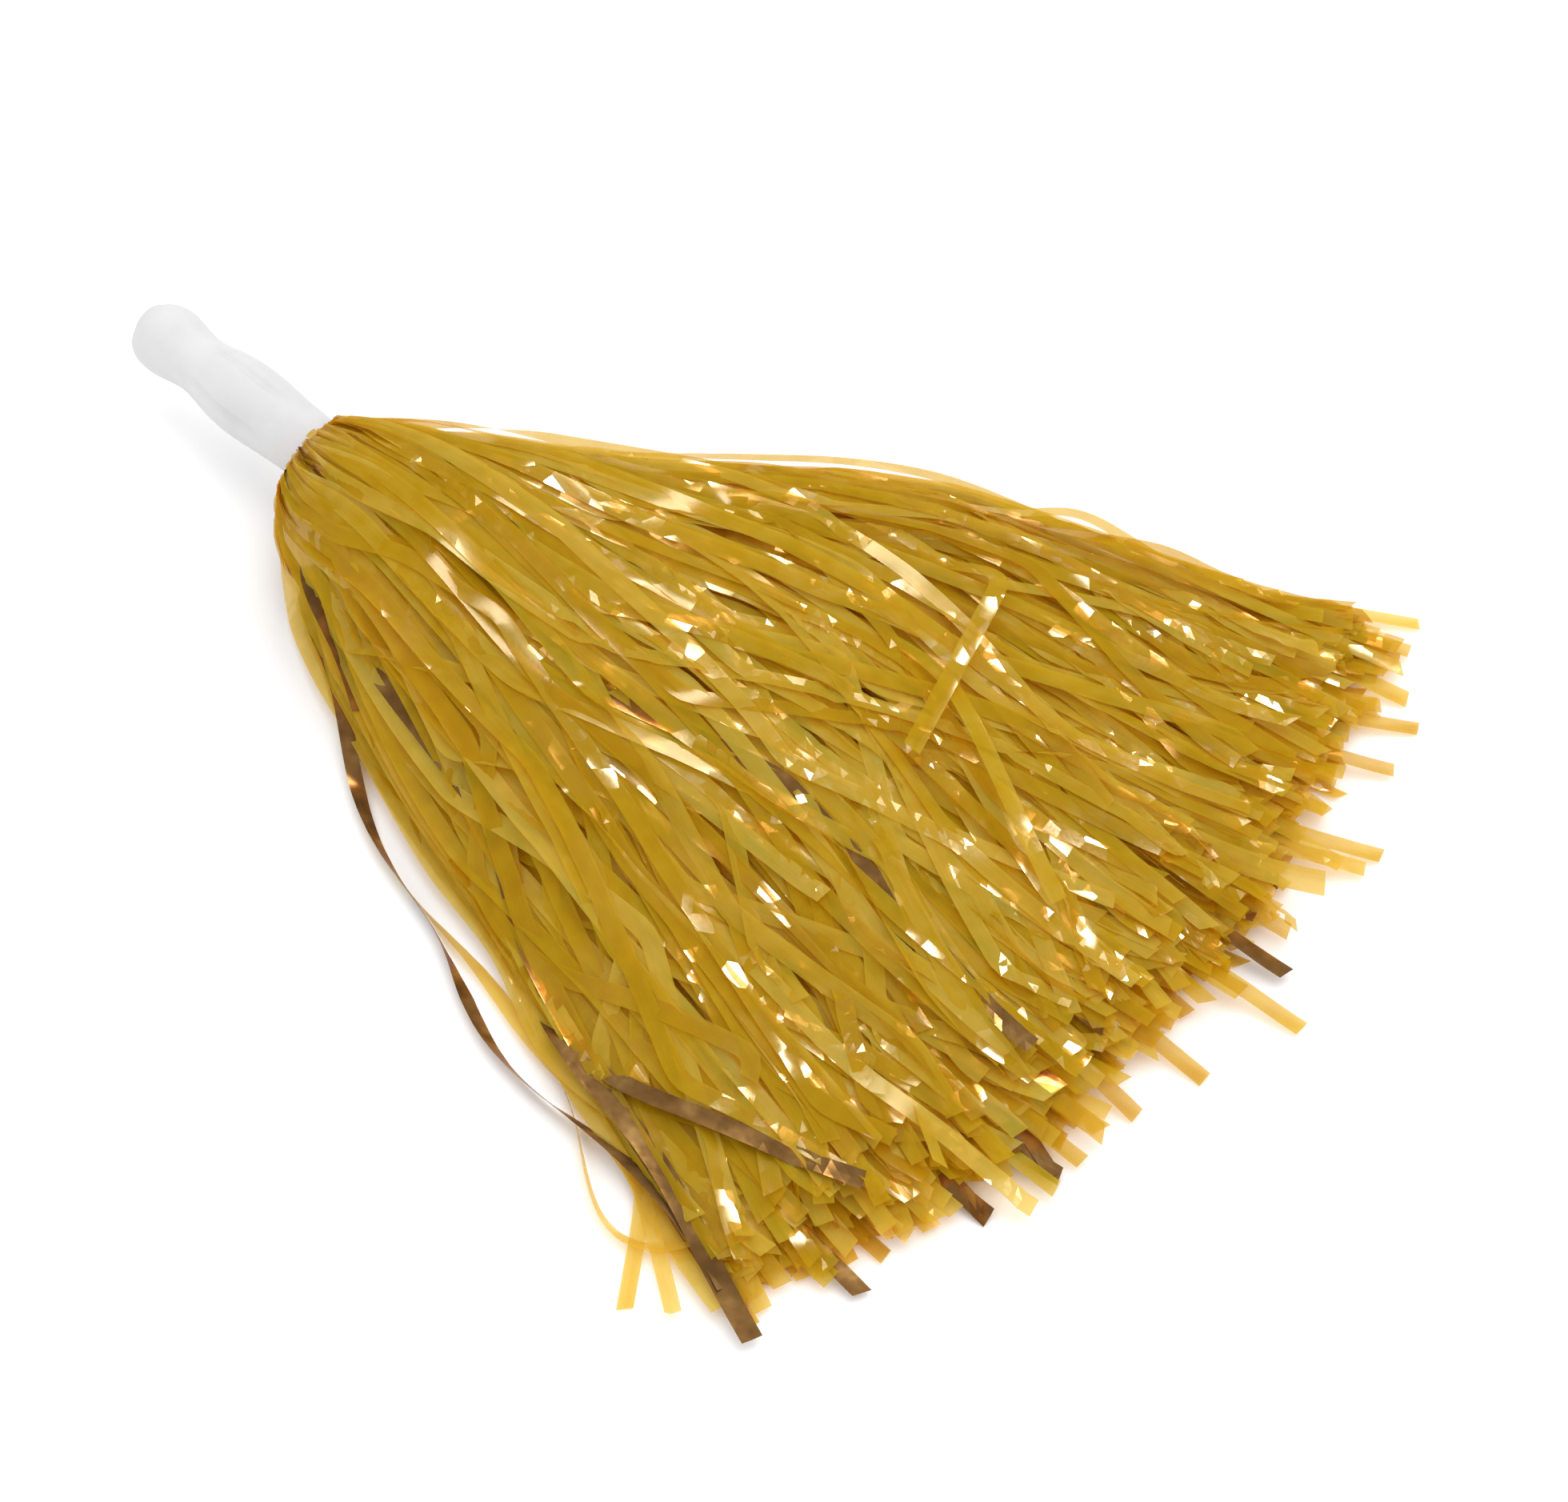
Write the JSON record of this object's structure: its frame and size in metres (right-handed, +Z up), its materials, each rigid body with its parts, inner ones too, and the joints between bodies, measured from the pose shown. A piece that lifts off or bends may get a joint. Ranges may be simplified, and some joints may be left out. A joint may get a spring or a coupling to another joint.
{
  "type": "cheer pom pom",
  "caption": "Cheerleading pom pom: hollow baton grip with film headers clamped on its stem and a fan of hinged gold streamer tufts folded back over the binding.",
  "frame": {"origin": "on the grip's axis at its neck, where the film is turned back over the binding", "axes": "+X along the grip's axis from the grip to the streamers, +Z up from the floor the pom pom lies on, +Y to the side"},
  "size_m": [0.3748, 0.3174, 0.0526],
  "materials": {
    "grip_plastic": "satin",
    "plug_plastic": "satin",
    "tie_nylon": "satin",
    "clear_tape": "gloss",
    "foil": "gloss",
    "gold_film": "gloss",
    "gold_streamers": "gloss"
  },
  "bodies": {
    "handle": {"grip_shell": "grip_plastic", "stem_plug": "plug_plastic", "film_header_1": "gold_film", "film_header_2": "gold_film", "film_header_3": "gold_film", "film_header_4": "gold_film", "film_header_5": "gold_film", "foil_header": "foil", "binding_tape": "clear_tape", "cable_tie": "tie_nylon", "film_fold": "gold_film"},
    "upper_outer_tuft_1": {"upper_outer_tuft_1": "gold_streamers"},
    "upper_inner_tuft_1": {"upper_inner_tuft_1": "gold_streamers"},
    "upper_outer_tuft_2": {"upper_outer_tuft_2": "gold_streamers"},
    "upper_inner_tuft_2": {"upper_inner_tuft_2": "gold_streamers"},
    "upper_outer_tuft_3": {"upper_outer_tuft_3": "gold_streamers"},
    "upper_inner_tuft_3": {"upper_inner_tuft_3": "gold_streamers"},
    "upper_outer_tuft_4": {"upper_outer_tuft_4": "gold_streamers"},
    "upper_inner_tuft_4": {"upper_inner_tuft_4": "gold_streamers"},
    "upper_outer_tuft_5": {"upper_outer_tuft_5": "gold_streamers"},
    "upper_inner_tuft_5": {"upper_inner_tuft_5": "gold_streamers"},
    "upper_outer_tuft_6": {"upper_outer_tuft_6": "gold_streamers"},
    "upper_inner_tuft_6": {"upper_inner_tuft_6": "gold_streamers"},
    "lower_outer_tuft_1": {"lower_outer_tuft_1": "gold_streamers"},
    "lower_inner_tuft_1": {"lower_inner_tuft_1": "gold_streamers"},
    "lower_outer_tuft_2": {"lower_outer_tuft_2": "gold_streamers"},
    "lower_inner_tuft_2": {"lower_inner_tuft_2": "gold_streamers"},
    "lower_outer_tuft_3": {"lower_outer_tuft_3": "gold_streamers"},
    "lower_inner_tuft_3": {"lower_inner_tuft_3": "gold_streamers"},
    "lower_outer_tuft_4": {"lower_outer_tuft_4": "gold_streamers"},
    "lower_inner_tuft_4": {"lower_inner_tuft_4": "gold_streamers"},
    "lower_outer_tuft_5": {"lower_outer_tuft_5": "gold_streamers"},
    "lower_inner_tuft_5": {"lower_inner_tuft_5": "gold_streamers"},
    "lower_outer_tuft_6": {"lower_outer_tuft_6": "gold_streamers"},
    "lower_inner_tuft_6": {"lower_inner_tuft_6": "gold_streamers"},
    "left_outer_tuft": {"left_outer_tuft": "gold_streamers"},
    "left_inner_tuft": {"left_inner_tuft": "gold_streamers"},
    "right_outer_tuft": {"right_outer_tuft": "gold_streamers"},
    "right_inner_tuft": {"right_inner_tuft": "gold_streamers"}
  },
  "joints": [
    {"name": "upper_outer_lift_1", "type": "hinge", "parent": "handle", "child": "upper_outer_tuft_1", "pos_m": [-0.00155, -0.00952, 0.0132], "axis": [-0.3173, -0.9483, 0], "range_deg": [0, 40]},
    {"name": "upper_inner_lift_1", "type": "hinge", "parent": "handle", "child": "upper_inner_tuft_1", "pos_m": [-0.00155, -0.00952, 0.0132], "axis": [-0.3173, -0.9483, 0], "range_deg": [0, 22.5]},
    {"name": "upper_outer_lift_2", "type": "hinge", "parent": "handle", "child": "upper_outer_tuft_2", "pos_m": [-0.00041, -0.00495, 0.0132], "axis": [-0.165, -0.9863, 0], "range_deg": [0, 40]},
    {"name": "upper_inner_lift_2", "type": "hinge", "parent": "handle", "child": "upper_inner_tuft_2", "pos_m": [-0.00041, -0.00495, 0.0132], "axis": [-0.165, -0.9863, 0], "range_deg": [0, 22.5]},
    {"name": "upper_outer_lift_3", "type": "hinge", "parent": "handle", "child": "upper_outer_tuft_3", "pos_m": [0, -0.00026, 0.0132], "axis": [-0.0087, -1, 0], "range_deg": [0, 40]},
    {"name": "upper_inner_lift_3", "type": "hinge", "parent": "handle", "child": "upper_inner_tuft_3", "pos_m": [0, -0.00026, 0.0132], "axis": [-0.0087, -1, 0], "range_deg": [0, 22.5]},
    {"name": "upper_outer_lift_4", "type": "hinge", "parent": "handle", "child": "upper_outer_tuft_4", "pos_m": [-0.00033, 0.00443, 0.0132], "axis": [0.1478, -0.989, 0], "range_deg": [0, 40]},
    {"name": "upper_inner_lift_4", "type": "hinge", "parent": "handle", "child": "upper_inner_tuft_4", "pos_m": [-0.00033, 0.00443, 0.0132], "axis": [0.1478, -0.989, 0], "range_deg": [0, 22.5]},
    {"name": "upper_outer_lift_5", "type": "hinge", "parent": "handle", "child": "upper_outer_tuft_5", "pos_m": [-0.00139, 0.00902, 0.0132], "axis": [0.3007, -0.9537, 0], "range_deg": [0, 40]},
    {"name": "upper_inner_lift_5", "type": "hinge", "parent": "handle", "child": "upper_inner_tuft_5", "pos_m": [-0.00139, 0.00902, 0.0132], "axis": [0.3007, -0.9537, 0], "range_deg": [0, 22.5]},
    {"name": "upper_outer_lift_6", "type": "hinge", "parent": "handle", "child": "upper_outer_tuft_6", "pos_m": [-0.00315, 0.01339, 0.0132], "axis": [0.4462, -0.8949, 0], "range_deg": [0, 40]},
    {"name": "upper_inner_lift_6", "type": "hinge", "parent": "handle", "child": "upper_inner_tuft_6", "pos_m": [-0.00315, 0.01339, 0.0132], "axis": [0.4462, -0.8949, 0], "range_deg": [0, 22.5]},
    {"name": "lower_outer_drop_1", "type": "hinge", "parent": "handle", "child": "lower_outer_tuft_1", "pos_m": [-0.00155, -0.00952, -0.0132], "axis": [0.3173, 0.9483, 0], "range_deg": [0, 40]},
    {"name": "lower_inner_drop_1", "type": "hinge", "parent": "handle", "child": "lower_inner_tuft_1", "pos_m": [-0.00155, -0.00952, -0.0132], "axis": [0.3173, 0.9483, 0], "range_deg": [0, 22.5]},
    {"name": "lower_outer_drop_2", "type": "hinge", "parent": "handle", "child": "lower_outer_tuft_2", "pos_m": [-0.00041, -0.00495, -0.0132], "axis": [0.165, 0.9863, 0], "range_deg": [0, 40]},
    {"name": "lower_inner_drop_2", "type": "hinge", "parent": "handle", "child": "lower_inner_tuft_2", "pos_m": [-0.00041, -0.00495, -0.0132], "axis": [0.165, 0.9863, 0], "range_deg": [0, 22.5]},
    {"name": "lower_outer_drop_3", "type": "hinge", "parent": "handle", "child": "lower_outer_tuft_3", "pos_m": [0, -0.00026, -0.0132], "axis": [0.0087, 1, 0], "range_deg": [0, 40]},
    {"name": "lower_inner_drop_3", "type": "hinge", "parent": "handle", "child": "lower_inner_tuft_3", "pos_m": [0, -0.00026, -0.0132], "axis": [0.0087, 1, 0], "range_deg": [0, 22.5]},
    {"name": "lower_outer_drop_4", "type": "hinge", "parent": "handle", "child": "lower_outer_tuft_4", "pos_m": [-0.00033, 0.00443, -0.0132], "axis": [-0.1478, 0.989, 0], "range_deg": [0, 40]},
    {"name": "lower_inner_drop_4", "type": "hinge", "parent": "handle", "child": "lower_inner_tuft_4", "pos_m": [-0.00033, 0.00443, -0.0132], "axis": [-0.1478, 0.989, 0], "range_deg": [0, 22.5]},
    {"name": "lower_outer_drop_5", "type": "hinge", "parent": "handle", "child": "lower_outer_tuft_5", "pos_m": [-0.00139, 0.00902, -0.0132], "axis": [-0.3007, 0.9537, 0], "range_deg": [0, 40]},
    {"name": "lower_inner_drop_5", "type": "hinge", "parent": "handle", "child": "lower_inner_tuft_5", "pos_m": [-0.00139, 0.00902, -0.0132], "axis": [-0.3007, 0.9537, 0], "range_deg": [0, 22.5]},
    {"name": "lower_outer_drop_6", "type": "hinge", "parent": "handle", "child": "lower_outer_tuft_6", "pos_m": [-0.00315, 0.01339, -0.0132], "axis": [-0.4462, 0.8949, 0], "range_deg": [0, 40]},
    {"name": "lower_inner_drop_6", "type": "hinge", "parent": "handle", "child": "lower_inner_tuft_6", "pos_m": [-0.00315, 0.01339, -0.0132], "axis": [-0.4462, 0.8949, 0], "range_deg": [0, 22.5]},
    {"name": "left_outer_splay", "type": "hinge", "parent": "handle", "child": "left_outer_tuft", "pos_m": [-0.00238, -0.01172, 0], "axis": [0, 0, -1], "range_deg": [0, 40]},
    {"name": "left_inner_splay", "type": "hinge", "parent": "handle", "child": "left_inner_tuft", "pos_m": [-0.00238, -0.01172, 0], "axis": [0, 0, -1], "range_deg": [0, 22.5]},
    {"name": "right_outer_splay", "type": "hinge", "parent": "handle", "child": "right_outer_tuft", "pos_m": [-0.00428, 0.01545, 0], "axis": [0, 0, 1], "range_deg": [0, 40]},
    {"name": "right_inner_splay", "type": "hinge", "parent": "handle", "child": "right_inner_tuft", "pos_m": [-0.00428, 0.01545, 0], "axis": [0, 0, 1], "range_deg": [0, 22.5]}
  ],
  "couplings": [
    {"joint": "upper_inner_lift_1", "follows": "upper_outer_lift_1", "ratio": 0.55},
    {"joint": "upper_inner_lift_2", "follows": "upper_outer_lift_2", "ratio": 0.55},
    {"joint": "upper_inner_lift_3", "follows": "upper_outer_lift_3", "ratio": 0.55},
    {"joint": "upper_inner_lift_4", "follows": "upper_outer_lift_4", "ratio": 0.55},
    {"joint": "upper_inner_lift_5", "follows": "upper_outer_lift_5", "ratio": 0.55},
    {"joint": "upper_inner_lift_6", "follows": "upper_outer_lift_6", "ratio": 0.55},
    {"joint": "lower_inner_drop_1", "follows": "lower_outer_drop_1", "ratio": 0.55},
    {"joint": "lower_inner_drop_2", "follows": "lower_outer_drop_2", "ratio": 0.55},
    {"joint": "lower_inner_drop_3", "follows": "lower_outer_drop_3", "ratio": 0.55},
    {"joint": "lower_inner_drop_4", "follows": "lower_outer_drop_4", "ratio": 0.55},
    {"joint": "lower_inner_drop_5", "follows": "lower_outer_drop_5", "ratio": 0.55},
    {"joint": "lower_inner_drop_6", "follows": "lower_outer_drop_6", "ratio": 0.55},
    {"joint": "left_inner_splay", "follows": "left_outer_splay", "ratio": 0.55},
    {"joint": "right_inner_splay", "follows": "right_outer_splay", "ratio": 0.55}
  ]
}
